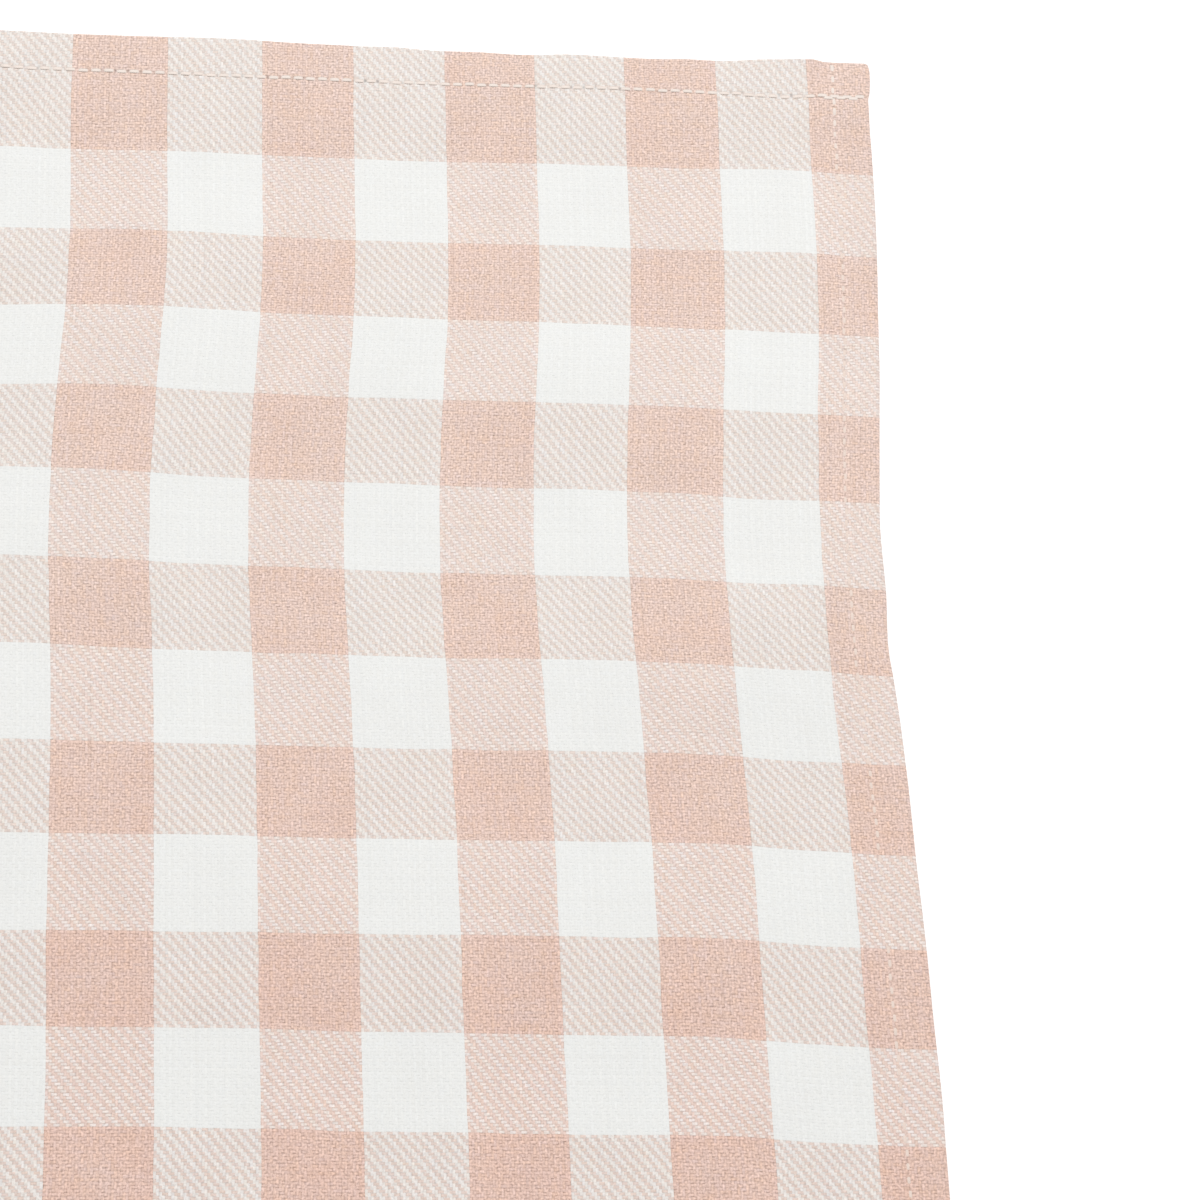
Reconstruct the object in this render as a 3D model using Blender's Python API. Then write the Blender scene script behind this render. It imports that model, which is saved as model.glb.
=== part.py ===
"""A checked cotton tea towel, hemmed on all four sides, lying face up and a little uneven.

Metres, +Z up. The origin is under the middle of the towel, on the surface that it lies on.
+X runs to its right side and +Y to its top end. The hems are turned to the underside.
"""

from collections import namedtuple

import bmesh
import bpy
import numpy as np

MM = 0.001

# The woven checks set the size: whole checks, with a part of one outside them on every side.
CHECK_WIDTH = 22.4 * MM
CHECK_HEIGHT = 22.0 * MM
CHECKS_ACROSS = 21
CHECKS_ALONG = 29
SIDE_BORDER = 14.8 * MM
END_BORDER = 31.0 * MM
WIDTH = CHECKS_ACROSS * CHECK_WIDTH + 2 * SIDE_BORDER
LENGTH = CHECKS_ALONG * CHECK_HEIGHT + 2 * END_BORDER

CLOTH_THICK = 1.0 * MM
HEM_THICK = 2.2 * MM
CORNER_THICK = 3.2 * MM
SIDE_HEM = 9.8 * MM
END_HEM = 11.2 * MM
HEM_STEP = 0.5 * MM
EDGE_ROUND = 0.7 * MM
HEM_SETTLE = 22.0 * MM
CORNER_SETTLE = 12.0 * MM
FACET = 15.0 * MM
SHARP_FROM_DEGREES = 40

# What centres the uneven outline over the origin.
CENTRE_X = -1.2 * MM
CENTRE_Y = -0.6 * MM

COTTON_COLOUR = (0.82, 0.70, 0.63, 1.0)
COTTON_ROUGHNESS = 0.9

# How far the cloth lies from its straight woven place, in millimetres, a row for each section down
# the towel: to the right, then towards the top, each at the left side, the inner line and the right.
Section = namedtuple("Section", "from_top left_x inner_x right_x left_y inner_y right_y")
INNER_LINE = 350.0 * MM
SECTIONS = (
    Section(0, -0.6, -0.3, 3.4, 0.8, -0.4, 2.8),
    Section(31, -0.4, 0.0, 3.0, 0.2, -1.7, 1.8),
    Section(53, -0.1, 0.4, 2.4, -0.4, -2.4, 0.1),
    Section(75, 0.3, -0.1, 1.2, -0.6, -1.7, -0.5),
    Section(97, 0.6, -1.4, -0.7, -0.5, -0.9, -0.9),
    Section(119, 0.7, -2.3, -2.0, -0.3, -0.7, -1.7),
    Section(141, 0.5, -2.2, -2.8, 0.0, -0.8, -2.1),
    Section(163, 0.2, -1.2, -2.7, 0.2, 0.0, -1.9),
    Section(185, -0.2, -0.2, -1.5, 0.3, -0.4, -1.5),
    Section(207, -0.5, 0.3, -0.6, 0.3, 0.2, -1.1),
    Section(229, -0.7, 0.7, -0.4, 0.2, 0.3, -1.3),
    Section(251, -0.8, 1.2, -0.2, 0.0, 1.1, -2.1),
    Section(273, -0.8, 1.7, 0.1, -0.2, 1.7, -2.0),
    Section(340, -0.3, 1.5, 0.6, -0.4, 1.2, -1.2),
    Section(420, 0.8, 0.4, 1.2, -0.2, 0.2, -0.2),
    Section(500, 1.2, -0.8, 0.3, 0.4, -0.6, 0.6),
    Section(590, 0.2, -0.9, -1.0, 0.8, -0.3, 0.5),
    Section(660, -1.0, 0.2, -0.6, 0.3, 0.6, -0.3),
    Section(700, -1.4, 0.8, 0.4, -0.3, 0.9, -0.8),
)

# What each lengthwise stripe adds to that along its whole length, in millimetres.
Stripe = namedtuple("Stripe", "from_left to_right to_top")
STRIPES = (
    Stripe(0, -0.3, 0.0),
    Stripe(60, 0.4, 0.2),
    Stripe(130, -0.3, -0.2),
    Stripe(200, 0.3, 0.2),
    Stripe(270, -0.2, -0.1),
    Stripe(320, 0.3, 0.0),
    Stripe(351, 0.5, 0.0),
    Stripe(373, 0.0, -0.1),
    Stripe(396, -0.1, -0.1),
    Stripe(418, -0.5, 0.1),
    Stripe(440, -0.6, 0.3),
    Stripe(463, 0.1, 0.1),
    Stripe(485, 0.6, -0.5),
    Stripe(500, 0.9, -0.6),
)

# The soft ridges where the cloth stands off the surface, in millimetres and degrees. The heading
# is the direction the ridge runs in from +X, and bow is how far its ends bend to its left.
Fold = namedtuple("Fold", "x y heading length width height bow")
FOLDS = (
    Fold(150, 262, -6, 330, 70, 1.5, 14),
    Fold(196, 186, 5, 250, 62, 1.3, -10),
    Fold(128, 128, -9, 280, 76, 1.2, 12),
    Fold(236, 215, 62, 130, 54, 1.4, 6),
    Fold(148, 60, 84, 420, 66, 1.0, -12),
    Fold(60, 236, 71, 260, 80, 2.2, 16),
    Fold(-62, 258, -14, 250, 84, 2.6, -12),
    Fold(-182, 196, 38, 240, 72, 3.0, 14),
    Fold(-214, 40, 86, 260, 66, 1.8, -8),
    Fold(-120, 48, 12, 270, 90, 2.4, 16),
    Fold(196, -24, -21, 230, 80, 2.6, -12),
    Fold(150, -142, 24, 300, 88, 3.0, 16),
    Fold(-70, -112, -32, 250, 84, 2.8, -14),
    Fold(-196, -176, 58, 230, 72, 2.4, 10),
    Fold(-30, -262, 7, 330, 78, 2.2, -16),
    Fold(206, -276, -48, 170, 64, 1.9, 8),
)


def curve_through(places, values, at):
    """The values at the given places, on a smooth curve through a table's rows."""
    places = np.asarray(places, float)
    values = np.asarray(values, float)
    slopes = np.gradient(values, places)
    row = np.clip(np.searchsorted(places, at) - 1, 0, len(places) - 2)
    step = places[row + 1] - places[row]
    share = np.clip((at - places[row]) / step, 0, 1)
    rest = 1 - share
    return (
        values[row] * (1 + 2 * share) * rest**2
        + values[row + 1] * (1 + 2 * rest) * share**2
        + slopes[row] * step * share * rest**2
        - slopes[row + 1] * step * rest * share**2
    )


def eased(share):
    """0 up to 0 and 1 from 1 on, with a smooth rise between."""
    share = np.clip(share, 0, 1)
    return share * share * (3 - 2 * share)


def lie_of(from_left, from_top):
    """X and Y of the cloth that was woven at these distances from its left side and top end."""
    down = [section.from_top * MM for section in SECTIONS]

    def drift(left, inner, right):
        at_lines = [
            curve_through(down, [getattr(section, name) for section in SECTIONS], from_top)
            for name in (left, inner, right)
        ]
        near = from_left / INNER_LINE
        lean = (at_lines[2] - at_lines[1]) / (WIDTH - INNER_LINE)
        inside = at_lines[0] + (at_lines[1] - at_lines[0]) * eased(near)
        inside += lean * INNER_LINE * near**2 * (near - 1)
        outside = at_lines[1] + lean * (from_left - INNER_LINE)
        return np.where(from_left < INNER_LINE, inside, outside)

    across = [stripe.from_left * MM for stripe in STRIPES]
    to_right = curve_through(across, [stripe.to_right for stripe in STRIPES], from_left)
    to_top = curve_through(across, [stripe.to_top for stripe in STRIPES], from_left)
    x = CENTRE_X + from_left - WIDTH / 2 + (drift("left_x", "inner_x", "right_x") + to_right) * MM
    y = CENTRE_Y + LENGTH / 2 - from_top + (drift("left_y", "inner_y", "right_y") + to_top) * MM
    return x, y


def ridge_height(x, y):
    """How far the soft ridges hold the cloth off the surface. It is nothing between them."""
    height = np.zeros_like(x)
    for fold in FOLDS:
        turn = np.radians(fold.heading)
        east = x - fold.x * MM
        north = y - fold.y * MM
        along = (east * np.cos(turn) + north * np.sin(turn)) / (fold.length * MM / 2)
        bend = fold.bow * MM * along**2
        aside = (north * np.cos(turn) - east * np.sin(turn) - bend) / (fold.width * MM / 2)
        crest = np.where(np.abs(aside) < 1, (1 + np.cos(np.pi * aside)) / 2, 0)
        taper = np.clip(1 - along**2, 0, 1) ** 2
        height += fold.height * MM * crest * taper
    return height


def hem_rise(from_left, from_top):
    """How far the turned hems and their corners lift the face of the cloth."""
    beside = np.minimum(from_left, WIDTH - from_left) - SIDE_HEM
    below = np.minimum(from_top, LENGTH - from_top) - END_HEM
    hem = 1 - eased(np.minimum(beside, below) / HEM_SETTLE)
    corner = 1 - eased(np.maximum(beside, below) / CORNER_SETTLE)
    return (HEM_THICK - CLOTH_THICK) * hem + (CORNER_THICK - HEM_THICK) * corner


def lines_between(size, hem):
    """Distances of the mesh lines across the cloth, closer at the rounded edges and the hems."""
    near = [0, EDGE_ROUND, hem - HEM_STEP, hem, hem + HEM_SETTLE / 4, hem + HEM_SETTLE / 2]
    free = size - 2 * near[-1]
    count = round(free / FACET)
    inner = [near[-1] + free * i / count for i in range(1, count)]
    return np.array(near + inner + [size - distance for distance in reversed(near)])


def build_cloth():
    """The woven panel with its turned hems: one closed sheet."""
    columns = lines_between(WIDTH, SIDE_HEM)
    rows = lines_between(LENGTH, END_HEM)
    from_left, from_top = np.meshgrid(columns, rows, indexing="ij")
    x, y = lie_of(from_left, from_top)
    rise = hem_rise(from_left, from_top)
    beside = np.minimum(from_left, WIDTH - from_left)
    below = np.minimum(from_top, LENGTH - from_top)
    in_hem = (beside < SIDE_HEM - HEM_STEP / 2) | (below < END_HEM - HEM_STEP / 2)
    on_edge = np.minimum(beside, below) < EDGE_ROUND / 2
    ridge = ridge_height(x, y)
    top = ridge + CLOTH_THICK + rise - EDGE_ROUND * on_edge
    under = ridge + np.where(in_hem, EDGE_ROUND * on_edge, rise)

    sheet = bmesh.new()
    column_of = sheet.verts.layers.int.new("column")
    row_of = sheet.verts.layers.int.new("row")
    bmesh.ops.create_grid(
        sheet, x_segments=len(columns) - 1, y_segments=len(rows) - 1, size=0.5
    )
    for vert in sheet.verts:
        vert[column_of] = round((vert.co.x + 0.5) * (len(columns) - 1))
        vert[row_of] = round((0.5 - vert.co.y) * (len(rows) - 1))
    grown = bmesh.ops.extrude_face_region(sheet, geom=sheet.faces[:], use_keep_orig=True)
    upper = {item for item in grown["geom"] if isinstance(item, bmesh.types.BMVert)}
    for vert in sheet.verts:
        place = vert[column_of], vert[row_of]
        vert.co = x[place], y[place], (top if vert in upper else under)[place]
    bmesh.ops.recalc_face_normals(sheet, faces=sheet.faces)

    mesh = bpy.data.meshes.new("towel_cloth")
    sheet.to_mesh(mesh)
    sheet.free()
    mesh.shade_smooth()
    mesh.set_sharp_from_angle(angle=np.radians(SHARP_FROM_DEGREES))
    mesh.materials.append(cotton())
    cloth = bpy.data.objects.new("towel_cloth", mesh)
    bpy.context.scene.collection.objects.link(cloth)
    return cloth


def cotton():
    """Plain cotton in the mean colour of the checks."""
    material = bpy.data.materials.new("towel_cotton")
    material.use_nodes = True
    shader = material.node_tree.nodes["Principled BSDF"]
    shader.inputs["Base Color"].default_value = COTTON_COLOUR
    shader.inputs["Roughness"].default_value = COTTON_ROUGHNESS
    shader.inputs["Metallic"].default_value = 0.0
    return material


def main():
    for thing in list(bpy.data.objects):
        bpy.data.objects.remove(thing, do_unlink=True)
    build_cloth()


main()
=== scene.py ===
import math
from collections import namedtuple
from functools import partial

import bpy
import numpy as np
from mathutils import Matrix, Vector


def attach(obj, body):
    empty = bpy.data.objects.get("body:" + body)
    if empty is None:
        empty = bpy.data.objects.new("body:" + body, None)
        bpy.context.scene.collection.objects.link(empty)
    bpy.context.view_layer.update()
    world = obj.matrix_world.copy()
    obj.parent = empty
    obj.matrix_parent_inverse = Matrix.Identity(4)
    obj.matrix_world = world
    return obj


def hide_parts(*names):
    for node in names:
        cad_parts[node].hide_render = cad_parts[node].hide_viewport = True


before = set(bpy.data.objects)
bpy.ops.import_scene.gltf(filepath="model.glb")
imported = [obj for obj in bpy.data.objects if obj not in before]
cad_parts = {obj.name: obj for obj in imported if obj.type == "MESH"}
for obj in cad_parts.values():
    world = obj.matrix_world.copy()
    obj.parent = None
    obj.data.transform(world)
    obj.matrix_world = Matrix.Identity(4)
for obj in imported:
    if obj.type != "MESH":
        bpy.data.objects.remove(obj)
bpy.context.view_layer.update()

bl_info = {
    "name": "Checked tea towel",
    "version": (1, 0, 0),
    "blender": (4, 5, 0),
    "location": "View3D > Sidebar > Tea Towel",
    "description": "A hemmed twill tea towel in a two-tone check, lying face up",
    "category": "Object",
}

MM = 0.001
CLOTH_NODE = "towel_cloth"
BODY = "root"

# --- How the towel lies: the first three tables are the solid's own ---


def table(columns, *rows):
    """Rows of numbers with named columns."""
    row_of = namedtuple("Row", columns)
    return tuple(row_of(*row) for row in rows)


# What centres the uneven outline over the origin.
CENTRE_X = -1.2 * MM
CENTRE_Y = -0.6 * MM

# How far the cloth lies from its straight woven place, in millimetres, a row for each section down
# the towel: to the right and to the top, each at the left side, the inner line and the right side.
INNER_LINE = 350.0 * MM
SECTIONS = table(
    "from_top left_x inner_x right_x left_y inner_y right_y",
    (0, -0.6, -0.3, 3.4, 0.8, -0.4, 2.8),
    (31, -0.4, 0.0, 3.0, 0.2, -1.7, 1.8),
    (53, -0.1, 0.4, 2.4, -0.4, -2.4, 0.1),
    (75, 0.3, -0.1, 1.2, -0.6, -1.7, -0.5),
    (97, 0.6, -1.4, -0.7, -0.5, -0.9, -0.9),
    (119, 0.7, -2.3, -2.0, -0.3, -0.7, -1.7),
    (141, 0.5, -2.2, -2.8, 0.0, -0.8, -2.1),
    (163, 0.2, -1.2, -2.7, 0.2, 0.0, -1.9),
    (185, -0.2, -0.2, -1.5, 0.3, -0.4, -1.5),
    (207, -0.5, 0.3, -0.6, 0.3, 0.2, -1.1),
    (229, -0.7, 0.7, -0.4, 0.2, 0.3, -1.3),
    (251, -0.8, 1.2, -0.2, 0.0, 1.1, -2.1),
    (273, -0.8, 1.7, 0.1, -0.2, 1.7, -2.0),
    (340, -0.3, 1.5, 0.6, -0.4, 1.2, -1.2),
    (420, 0.8, 0.4, 1.2, -0.2, 0.2, -0.2),
    (500, 1.2, -0.8, 0.3, 0.4, -0.6, 0.6),
    (590, 0.2, -0.9, -1.0, 0.8, -0.3, 0.5),
    (660, -1.0, 0.2, -0.6, 0.3, 0.6, -0.3),
    (700, -1.4, 0.8, 0.4, -0.3, 0.9, -0.8),
)

# What each lengthwise stripe adds to that along its whole length, in millimetres.
STRIPES = table(
    "from_left to_right to_top",
    (0, -0.3, 0.0), (60, 0.4, 0.2), (130, -0.3, -0.2), (200, 0.3, 0.2), (270, -0.2, -0.1),
    (320, 0.3, 0.0), (351, 0.5, 0.0), (373, 0.0, -0.1), (396, -0.1, -0.1), (418, -0.5, 0.1),
    (440, -0.6, 0.3), (463, 0.1, 0.1), (485, 0.6, -0.5), (500, 0.9, -0.6),
)

# The soft ridges where the cloth stands off the surface, in millimetres and degrees. The heading
# is the direction the ridge runs in from +X, and bow is how far its ends bend to its left.
FOLDS = table(
    "x y heading length width height bow",
    (150, 262, -6, 330, 70, 1.5, 14),
    (196, 186, 5, 250, 62, 1.3, -10),
    (128, 128, -9, 280, 76, 1.2, 12),
    (236, 215, 62, 130, 54, 1.4, 6),
    (148, 60, 84, 420, 66, 1.0, -12),
    (60, 236, 71, 260, 80, 2.2, 16),
    (-62, 258, -14, 250, 84, 2.6, -12),
    (-182, 196, 38, 240, 72, 3.0, 14),
    (-214, 40, 86, 260, 66, 1.8, -8),
    (-120, 48, 12, 270, 90, 2.4, 16),
    (196, -24, -21, 230, 80, 2.6, -12),
    (150, -142, 24, 300, 88, 3.0, 16),
    (-70, -112, -32, 250, 84, 2.8, -14),
    (-196, -176, 58, 230, 72, 2.4, 10),
    (-30, -262, 7, 330, 78, 2.2, -16),
    (206, -276, -48, 170, 64, 1.9, 8),
)

# How far each finished edge stands out (or in, if negative) at places along it, in millimetres.
# Sides are measured from the top and ends from the left.
TOP_WAVER = table(
    "along out",
    (0, 0.2), (60, -0.4), (140, 0.3), (210, -0.3), (280, 0.2), (326, 0.5), (338, 0.8), (348, 0.7),
    (354, 0.4), (372, 0.2), (378, 0.2), (382, 0.4), (388, 0.0), (394, -0.3), (404, -0.3),
    (416, -0.7), (427, -0.2), (434, -0.4), (442, -0.7), (450, -0.7), (456, -0.3), (463, -0.4),
    (468, 0.0), (474, 0.9), (483, 1.4), (490, 0.7), (500, 0.7),
)
RIGHT_WAVER = table(
    "along out",
    (0, 1.0), (4, 1.1), (7, 0.9), (9, 0.6), (10.5, 0.2), (13, 0.3), (18, 0.4), (22, 0.6),
    (30, 0.6), (44, 0.5), (57, 0.3), (72, 0.1), (90, 0.3), (104, 0.1), (115, -0.1), (126, -0.3),
    (133, 0.0), (144, 0.3), (151, -0.1), (157, -0.3), (164, 0.2), (187, 0.4), (200, 0.1),
    (208, 0.0), (228, 0.5), (246, 0.6), (262, 0.8), (276, 0.5), (330, -0.2), (400, 0.3),
    (470, -0.3), (560, 0.2), (640, -0.3), (689, -0.1), (694, 0.6), (700, 0.4),
)
BOTTOM_WAVER = table(
    "along out",
    (0, 0.0), (10, 0.6), (18, -0.3), (90, 0.4), (170, -0.4), (260, 0.3), (330, -0.4), (420, 0.4),
    (482, -0.3), (490, 0.6), (500, 0.0),
)
LEFT_WAVER = table(
    "along out",
    (0, 0.4), (6, 0.8), (12, -0.2), (70, 0.3), (150, -0.3), (240, 0.3), (350, -0.4), (450, 0.2),
    (560, -0.3), (640, 0.3), (689, -0.2), (694, 0.7), (700, 0.4),
)
WAVER_REACH = 11.0 * MM

# How far the picks sag from straight beside the right hem, in millimetres: a row for each section
# down the towel, with the sag a check and a half, half a check and nothing inside the hem.
SAG_LINES = (430.0 * MM, 452.0 * MM, 474.0 * MM, 492.0 * MM)
SAGS = table(
    "from_top outer_check last_check hem",
    (0, 0.3, -0.6, 0.4),
    (31, 0.3, -0.6, 0.5),
    (75, 0.2, 0.0, 0.6),
    (119, 0.0, 0.4, 0.9),
    (163, 0.0, 0.5, 1.0),
    (207, -0.3, 0.5, 1.2),
    (251, -0.3, 0.5, 0.9),
    (320, 0.1, 0.2, 0.4),
    (420, 0.0, 0.0, 0.0),
)

# Slight cockles, in millimetres and degrees. The last are the ripples that a sewn hem draws into
# the cloth beside it.
COCKLES = table(
    "length heading height beside_hems",
    (37, 14, 0.10, False), (53, 97, 0.12, False), (29, 58, 0.06, False), (71, 141, 0.14, False),
    (13, 34, 0.10, True),
)
COCKLE_SWAY = 0.7
COCKLE_BEND = 1.3

HEM_SETTLE = 22.0 * MM
CORNER_SETTLE = 12.0 * MM
PILE_EASE = 2.6 * MM
CORNER_PRESS = 0.56
LAYER_GAP = 0.03 * MM
GROOVE_DEPTH = 0.1 * MM
GROOVE_WIDTH = 1.0 * MM
RAW_EDGE_INSET = 1.4 * MM

# --- What a user can change ---


def prop(kind, **settings):
    """A function that describes one property of this kind."""

    def describe(name, description, default):
        return kind(name=name, description=description, default=default, **settings)

    return describe


length_prop = prop(bpy.props.FloatProperty, unit="LENGTH", precision=5)
angle_prop = prop(bpy.props.FloatProperty, subtype="ANGLE")
amount_prop = prop(bpy.props.FloatProperty, min=0)
count_prop = prop(bpy.props.IntProperty, min=1)
colour_prop = prop(bpy.props.FloatVectorProperty, size=3, min=0, max=1, subtype="COLOR")


class ClothSizes(bpy.types.PropertyGroup):
    """Sizes of the woven cloth and its hems."""

    check_width: length_prop("Check width", "Width of one check", 22.4 * MM)
    check_height: length_prop("Check height", "Height of one check", 22.0 * MM)
    checks_across: count_prop("Checks across", "Whole checks across the width", 21)
    checks_along: count_prop("Checks along", "Whole checks along the length", 29)
    ends_per_check: count_prop("Ends per check", "Lengthwise yarns in one check", 36)
    picks_per_check: count_prop("Picks per check", "Crosswise yarns in one check", 30)
    side_border: length_prop("Side border", "Pink cloth outside the last check", 14.8 * MM)
    end_border: length_prop("End border", "Pink cloth beyond the last check", 31.0 * MM)
    side_hem: length_prop("Side hem", "Depth of the hem along each side", 9.8 * MM)
    end_hem: length_prop("End hem", "Depth of the hem along each end", 11.2 * MM)
    cloth_thick: length_prop("Cloth thickness", "Thickness of one layer", 0.65 * MM)
    field_cell: length_prop("Mesh cell", "Size of a mesh cell on the open cloth", 4.2 * MM)


class StitchSizes(bpy.types.PropertyGroup):
    """Sizes of the hem stitching."""

    stitch_length: length_prop("Stitch length", "From one needle hole to the next", 3.0 * MM)
    thread_thick: length_prop("Thread thickness", "Width of the sewing thread", 1.0 * MM)
    side_inset: length_prop("Side inset", "Side stitching to the finished edge", 8.6 * MM)
    end_inset: length_prop("End inset", "End stitching to the finished edge", 10.1 * MM)


class TowelColours(bpy.types.PropertyGroup):
    """Colours of the yarns and the thread."""

    pink_yarn: colour_prop("Pink yarn", "Dyed yarn at the shown end", (0.740, 0.565, 0.490))
    deep_yarn: colour_prop("Deep pink", "Dyed yarn farther in", (0.727, 0.506, 0.426))
    white_yarn: colour_prop("White yarn", "Bleached yarn", (0.761, 0.762, 0.744))
    thread: colour_prop("Thread", "Sewing thread", (0.80, 0.715, 0.655))
    # The thread along the sides, darkened by painted shade and by the nap over it.
    shaded_sunk_thread: colour_prop("Sunk thread", "Thread along the sides", (0.76, 0.63, 0.555))


class StudioLook(bpy.types.PropertyGroup):
    """The plain studio round the towel."""

    lens: amount_prop("Lens", "Focal length in millimetres", 85.0)
    tilt: angle_prop("Height angle", "Camera's angle above the cloth", math.radians(65.1))
    bearing: angle_prop("Bearing", "Camera's angle round from the near end", math.radians(-21.9))
    roll: angle_prop("Roll", "Camera's turn about its line of sight", math.radians(21.5))
    distance: length_prop("Distance", "Camera to the point it looks at", 0.6582)
    fill_light: amount_prop("Fill light", "Strength of the light from all round", 0.67)
    top_light: amount_prop("Top light", "Power of the large soft light in watts", 13.4)
    floor_colour: colour_prop("Floor", "Colour of the floor", (0.93, 0.93, 0.93))


# --- The shape of the lying cloth ---


def curve_through(places, values, at):
    """The values at the given places, on a smooth curve through them."""
    places = np.asarray(places, float)
    values = np.asarray(values, float)
    slopes = np.gradient(values, places)
    row = np.clip(np.searchsorted(places, at) - 1, 0, len(places) - 2)
    step = places[row + 1] - places[row]
    share = np.clip((at - places[row]) / step, 0, 1)
    rest = 1 - share
    return (
        values[row] * (1 + 2 * share) * rest**2
        + values[row + 1] * (1 + 2 * rest) * share**2
        + slopes[row] * step * share * rest**2
        - slopes[row + 1] * step * rest * share**2
    )


def column_at(rows, name, at):
    """A table's column at the given places. The first column says where the rows lie."""
    places = [row[0] * MM for row in rows]
    return curve_through(places, [getattr(row, name) for row in rows], at) * MM


def eased(share):
    """0 up to 0 and 1 from 1 on, with a smooth rise between."""
    share = np.clip(share, 0, 1)
    return share * share * (3 - 2 * share)


def bell(share):
    """1 at 0, falling smoothly to nothing on both sides."""
    return np.exp(-share * share)


class LyingTowel:
    """Turns places on the flat cut cloth into places on the towel as it lies."""

    def __init__(self, scene):
        self.sizes = sizes = scene.towel_cloth
        self.stitching = scene.towel_stitching
        self.thick = sizes.cloth_thick
        self.layer = sizes.cloth_thick + LAYER_GAP
        self.width = sizes.checks_across * sizes.check_width + 2 * sizes.side_border
        self.length = sizes.checks_along * sizes.check_height + 2 * sizes.end_border
        self.hem_rise = 2 * self.layer
        self.corner_rise = 8 * self.layer * CORNER_PRESS

    def start_of_turn(self, outer):
        """How far from the finished edge the cloth begins to turn under."""
        return outer + self.thick / 2

    def under_run(self, hem, outer, inner):
        """Length of the flat lowest layer of a hem."""
        return hem - inner - self.thick / 2 - self.start_of_turn(outer)

    def beyond(self, hem):
        """How far the flat cut reaches past the finished edge, for the hem's two turns."""
        outer, inner = self.layer, self.layer / 2
        run = self.under_run(hem, outer, inner)
        turned_in = run - RAW_EDGE_INSET
        return math.pi * (outer + inner) + run + turned_in - self.start_of_turn(outer)

    def inside(self, across, down, side, end):
        """How far a place lies inside two lines: one beside the sides and one along the ends."""
        beside = np.minimum(across, self.width - across) - side
        return beside, np.minimum(down, self.length - down) - end

    def inside_hems(self, across, down):
        return self.inside(across, down, self.sizes.side_hem, self.sizes.end_hem)

    def turned(self, cut, size, hem, outer, inner):
        """Where a double-turned hem takes the cloth: across, drop, and its face's direction."""
        near = np.minimum(cut, size - cut)
        start = self.start_of_turn(outer)
        run = np.maximum(start - near, 0)
        under = self.under_run(hem, outer, inner)
        first = np.clip(run / outer, 0, np.pi)
        flat = np.clip(run - np.pi * outer, 0, under)
        second = np.clip((run - np.pi * outer - under) / inner, 0, np.pi)
        last = np.maximum(run - np.pi * (outer + inner) - under, 0)
        across = np.maximum(near, start) - outer * np.sin(first) + flat
        across += inner * np.sin(second) - last
        drop = inner * (1 - np.cos(second)) - outer * (1 - np.cos(first))
        outward = -np.sin(first + second)
        upward = np.cos(first + second)
        far = cut > size / 2
        return np.where(far, size - across, across), drop, np.where(far, -outward, outward), upward

    def rise_at(self, across, down):
        """How far hems and corners lift the face, at a place on the finished towel."""
        beside, below = self.inside_hems(across, down)
        hem = 1 - eased(np.minimum(beside, below) / HEM_SETTLE)
        corner = 1 - eased(np.maximum(beside, below) / CORNER_SETTLE)
        return self.hem_rise * hem + (self.corner_rise - self.hem_rise) * corner

    def layers_at(self, across):
        """Layers that an end hem folds together: one, and three where a side hem lies."""
        beside, _ = self.inside_hems(across, 0)
        return 3 - 2 * eased(beside / PILE_EASE)

    def end_turns(self, across):
        """Radii of an end hem's outer and inner turn."""
        layers = self.layers_at(across)
        return self.layer * (3 * layers - 1) / 2, self.layer * (2 * layers - 1) / 2

    def hemmed(self, u, v, w):
        """Distance from the left and the top, and height, once both pairs of hems are turned."""
        sizes = self.sizes
        side = self.turned(u, self.width, sizes.side_hem, self.layer, self.layer / 2)
        across = side[0] + side[2] * w
        stack = side[1] + side[3] * w
        outer, inner = self.end_turns(across)
        end = self.turned(v, self.length, sizes.end_hem, outer, inner)
        down = end[0] + end[2] * stack
        drop = end[1] + end[3] * stack
        _, below = self.inside_hems(across, down)
        corner = (self.layers_at(across) - 1) / 2 * (1 - eased(below / PILE_EASE))
        drop = drop * (1 - (1 - CORNER_PRESS) * corner)
        rise = self.rise_at(across, down)
        return across, down, self.thick / 2 + rise + drop + self.groove(across, down, rise, drop)

    def groove(self, across, down, rise, drop):
        """The stitching draws the hem's face down and its lowest layer up."""
        stitching = self.stitching
        beside, below = self.inside(across, down, stitching.side_inset, stitching.end_inset)
        near = np.maximum(bell(beside / GROOVE_WIDTH), bell(below / GROOVE_WIDTH))
        share = np.clip(-drop / np.maximum(rise, self.layer / 2), 0, 1)
        return GROOVE_DEPTH * near * (2 * share - 1)

    def wavered(self, across, down):
        """The finished edges stand out and in a little."""

        def out(rows, at, gap):
            return column_at(rows, "out", at) * (1 - eased(gap / WAVER_REACH))

        right = out(RIGHT_WAVER, down, self.width - across)
        left = out(LEFT_WAVER, down, across)
        top = out(TOP_WAVER, across, down)
        bottom = out(BOTTOM_WAVER, across, self.length - down)
        return across + right - left, down + bottom - top

    def drifted(self, across, down):
        """X and Y of a place on the finished towel, with the drift of the lying cloth."""

        def drift(way):
            lines = [column_at(SECTIONS, side + way, down) for side in ("left", "inner", "right")]
            near = across / INNER_LINE
            lean = (lines[2] - lines[1]) / (self.width - INNER_LINE)
            inside = lines[0] + (lines[1] - lines[0]) * eased(near)
            inside += lean * INNER_LINE * near**2 * (near - 1)
            outside = lines[1] + lean * (across - INNER_LINE)
            return np.where(across < INNER_LINE, inside, outside)

        x = across - self.width / 2 + drift("_x") + column_at(STRIPES, "to_right", across)
        y = self.length / 2 - down + drift("_y") + column_at(STRIPES, "to_top", across)
        return x + CENTRE_X, y + CENTRE_Y

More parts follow.
